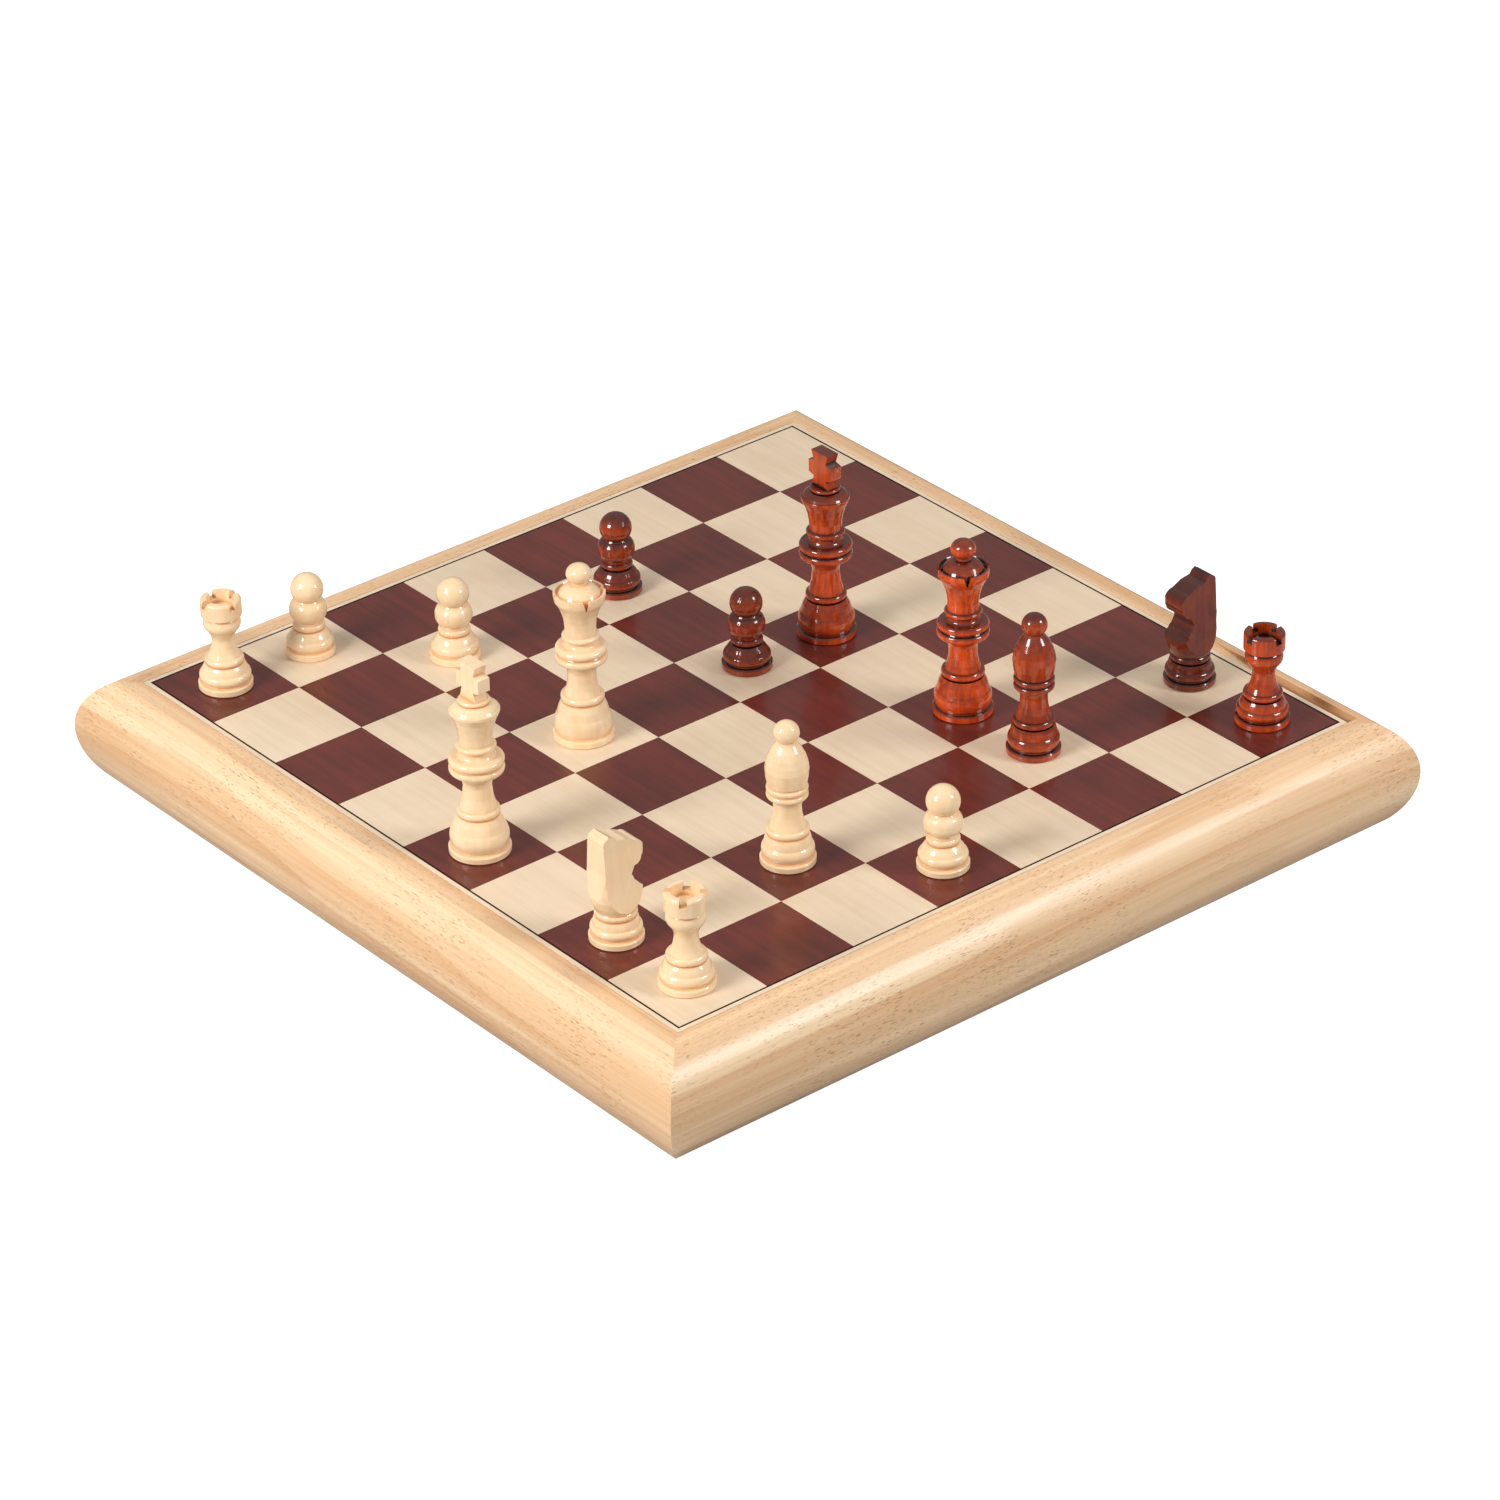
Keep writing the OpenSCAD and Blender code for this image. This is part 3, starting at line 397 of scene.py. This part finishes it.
class GAMESBOX_OT_stage(bpy.types.Operator):
    """Set the pale floor, the two softboxes, the even light and the camera"""

    bl_idname = "games_box.stage"
    bl_label = "Studio"

    def execute(self, context):
        scene = context.scene
        studio = scene.games_box_studio
        scene.view_settings.view_transform = "Standard"
        self.camera(scene, studio)
        self.softbox("softbox_left", LEFT_AZIMUTH, LEFT_SIZE, studio.left_power)
        self.softbox("softbox_right", RIGHT_AZIMUTH, RIGHT_SIZE, studio.right_power)
        self.world(scene, studio)
        self.floor()
        return {"FINISHED"}

    def camera(self, scene, studio):
        camera = stand("camera", bpy.data.cameras.new("camera"))
        camera.data.lens = studio.lens
        camera.data.sensor_width = SENSOR_WIDTH
        camera.data.clip_start = 0.05
        camera.data.clip_end = 50.0
        away = toward(studio.azimuth, studio.elevation)
        look = (-away).to_track_quat("-Z", "Y").to_matrix() @ Matrix.Rotation(-studio.roll, 3, "Z")
        camera.location = VIEW_MIDDLE + away * studio.distance
        camera.rotation_euler = look.to_euler()
        scene.camera = camera

    def softbox(self, name, azimuth, size, power):
        lamp = stand(name, bpy.data.lights.new(name, "AREA"))
        lamp.data.shape = "SQUARE"
        lamp.data.size = size
        lamp.data.energy = power
        away = toward(azimuth, SOFTBOX_ELEVATION)
        lamp.location = LIT_MIDDLE + away * SOFTBOX_DISTANCE
        lamp.rotation_euler = (-away).to_track_quat("-Z", "Y").to_euler()

    def world(self, scene, studio):
        """Even light that is stronger from above, and plain white where the camera sees it."""
        world = bpy.data.worlds.new("studio")
        scene.world = world
        world.use_nodes = True
        sky = Wiring(world.node_tree)
        height = sky.parts(sky.node("ShaderNodeTexCoord", out="Generated"))[2]
        seen = sky.node("ShaderNodeLightPath", out="Is Camera Ray")
        light = height.between(-0.1, 0.9) * (studio.overhead - studio.horizon) + studio.horizon
        back = world.node_tree.nodes["Background"]
        back.inputs[0].default_value = (1.0, 1.0, 1.0, 1.0)
        sky.feed(back.inputs[1], light * (1.0 - seen) + seen)

    def floor(self):
        """A plain floor that glows only where the camera sees it, so that it looks nearly white."""
        mesh = bpy.data.meshes.new("floor")
        shape = bmesh.new()
        bmesh.ops.create_circle(shape, cap_ends=True, segments=96, radius=FLOOR_RADIUS)
        shape.to_mesh(mesh)
        shape.free()
        floor = stand("floor", mesh)
        floor.location.z = -FLOOR_DROP
        p = Paint("pale_floor", specular_ior_level=0.1, roughness=0.9, emission_strength=1.0)
        seen = p.node("ShaderNodeLightPath", out="Is Camera Ray")
        grit = p.noise(p.stretched(p.place(), (40.0,) * 3), detail=2.0)
        pale = p.blend(grit, (0.42,) * 3, (0.44,) * 3)
        glow = p.blend(seen * FLOOR_GLOW, (0.0,) * 3, (1.0,) * 3)
        mesh.materials.append(p.finish(base_color=pale, emission_color=glow))


# ---------------------------------------------------------------- the box


class GAMESBOX_OT_rails(bpy.types.Operator):
    """Lacquer the four rails, each with its grain along its own length, and finish the base panel"""

    bl_idname = "games_box.rails"
    bl_label = "Rails"

    def execute(self, context):
        finish = context.scene.games_box_finish
        for name, (along, shift) in RAILS.items():
            dress("rail_" + name, rail_timber("rail_timber_" + name, tuple(finish.rails), along, shift))
        dress("base_panel", board_stuff("base_board", tuple(finish.panel)))
        return {"FINISHED"}


class GAMESBOX_OT_board(bpy.types.Operator):
    """Veneer both faces of the reversible board, and finish their lines and the core"""

    bl_idname = "games_box.board"
    bl_label = "Board"

    def execute(self, context):
        finish = context.scene.games_box_finish
        maple, maple_deep = tuple(finish.maple), tuple(finish.maple_deep)
        dark, dark_deep = tuple(finish.dark), tuple(finish.dark_deep)
        border = veneer("maple_border", shade(maple, 1.04), maple_deep, WHOLE_LEAF, 0.25)
        line = inlay("black_line", tuple(finish.line))
        for face, square, ending in (("chess", CHESS_SQUARE, ""), ("draughts", DRAUGHTS_SQUARE, "_small")):
            dress(face + "_light_squares", veneer("maple_veneer" + ending, maple, maple_deep, square, 0.25))
            dress(face + "_dark_squares", veneer("dark_veneer" + ending, dark, dark_deep, square, 0.5))
            dress(face + "_border", border)
            dress(face + "_line", line)
        dress("board_core", board_stuff("core_board", tuple(finish.panel)))
        return {"FINISHED"}


class GAMESBOX_OT_tray(bpy.types.Operator):
    """Flock the moulded tray"""

    bl_idname = "games_box.tray"
    bl_label = "Tray"

    def execute(self, context):
        dress("storage_tray", flock("red_flock", tuple(context.scene.games_box_finish.flock)))
        return {"FINISHED"}


class GAMESBOX_OT_men(bpy.types.Operator):
    """Stain and lacquer the turned chessmen and the draughtsmen"""

    bl_idname = "games_box.men"
    bl_label = "Men"

    def execute(self, context):
        finish = context.scene.games_box_finish
        pale, dark = tuple(finish.light_men), tuple(finish.dark_men)
        light = turned_wood("boxwood", shade(pale, 1.02), tinted(pale, LIGHT_BODY),
                            tinted(pale, LIGHT_GROOVE_AND_SHADE), weight=0.65, gloss=0.8)
        for node in NODES:
            if "squares" in node:
                continue
            if "light" in node:
                dress(node, light)
            elif "dark" in node:
                found = [stain for key, stain in STAIN_AND_TOP_SHADE.items() if key in node]
                dress(node, self.stained(dark, *(found or [OTHER_STAIN_AND_TOP_SHADE])[-1]))
        return {"FINISHED"}

    def stained(self, dark, strength, top_shade):
        """The dark wood at one strength of its stain and of its painted shade on upward faces, made once for
        all the men that share it.
        """
        name = "rosewood_%03d" % round(strength * 100)
        if name in bpy.data.materials:
            return bpy.data.materials[name]
        body = shade(dark, strength)
        return turned_wood(name, shade(body, 1.2), tinted(body, DARK_BODY), DARK_GROOVE_AND_SHADE,
                           weight=1.0, gloss=1.0, top_shade=top_shade)


# ---------------------------------------------------------------- panel and registration


class GAMESBOX_PT_panel(bpy.types.Panel):
    """Colours, studio values and steps of the games box"""

    bl_label = "Games Box"
    bl_idname = "GAMESBOX_PT_panel"
    bl_space_type = "VIEW_3D"
    bl_region_type = "UI"
    bl_category = "Games Box"

    def draw(self, context):
        for group in (context.scene.games_box_finish, context.scene.games_box_studio):
            column = self.layout.column()
            for key in group.bl_rna.properties.keys():
                if key not in {"rna_type", "name"}:
                    column.prop(group, key)
        for step in STEPS:
            self.layout.operator(step.bl_idname)


STEPS = (GAMESBOX_OT_stage, GAMESBOX_OT_rails, GAMESBOX_OT_board, GAMESBOX_OT_tray, GAMESBOX_OT_men)
CLASSES = (GamesBoxFinish, GamesBoxStudio, *STEPS, GAMESBOX_PT_panel)


def register():
    for cls in CLASSES:
        bpy.utils.register_class(cls)
    bpy.types.Scene.games_box_finish = PointerProperty(type=GamesBoxFinish)
    bpy.types.Scene.games_box_studio = PointerProperty(type=GamesBoxStudio)


def unregister():
    del bpy.types.Scene.games_box_studio
    del bpy.types.Scene.games_box_finish
    for cls in reversed(CLASSES):
        bpy.utils.unregister_class(cls)


def main():
    register()
    bpy.ops.games_box.stage()
    bpy.ops.games_box.rails()
    bpy.ops.games_box.board()
    bpy.ops.games_box.tray()
    bpy.ops.games_box.men()


if __name__ == "__main__":
    main()
